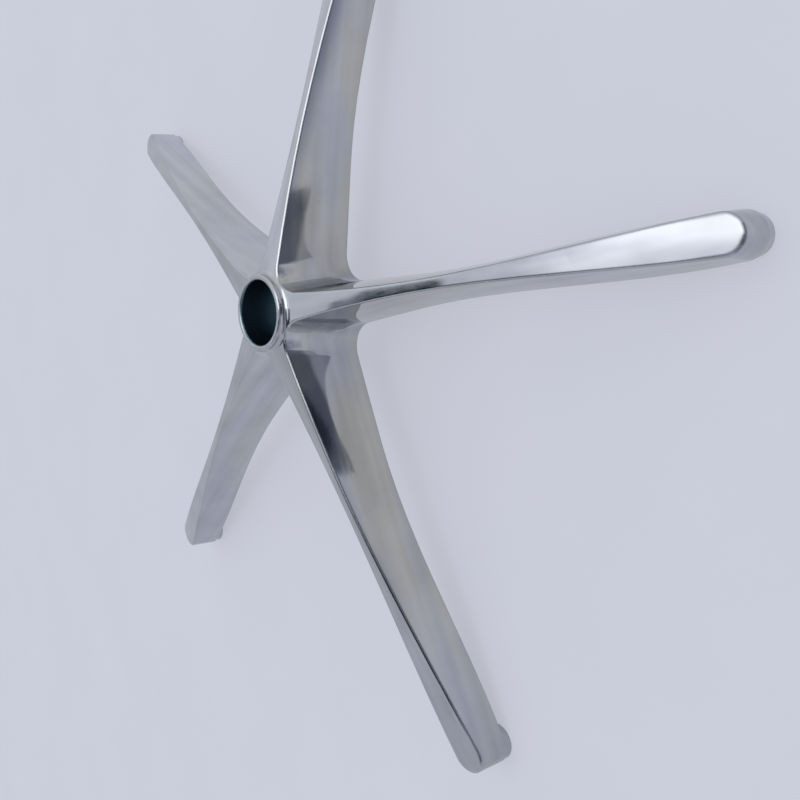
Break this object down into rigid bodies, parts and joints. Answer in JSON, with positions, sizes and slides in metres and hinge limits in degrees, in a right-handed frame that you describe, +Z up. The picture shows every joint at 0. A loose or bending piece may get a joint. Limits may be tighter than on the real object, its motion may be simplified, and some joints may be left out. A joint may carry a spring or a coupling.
{
  "type": "office chair five star base",
  "caption": "Star-shaped cast aluminium office chair base: blade-like arms spread from a tapered hub bore for a gas lift to tip bosses with caster sockets.",
  "frame": {"origin": "centre of the circle of caster sockets, on the plane of the boss faces and on the axis of the hub bore", "axes": "+Z up along the hub bore, +X along the first arm"},
  "size_m": [0.6549, 0.6872, 0.0984],
  "materials": {
    "polished_aluminium": "polished"
  },
  "bodies": {
    "root": {"five_star_base": "polished_aluminium"}
  },
  "joints": []
}
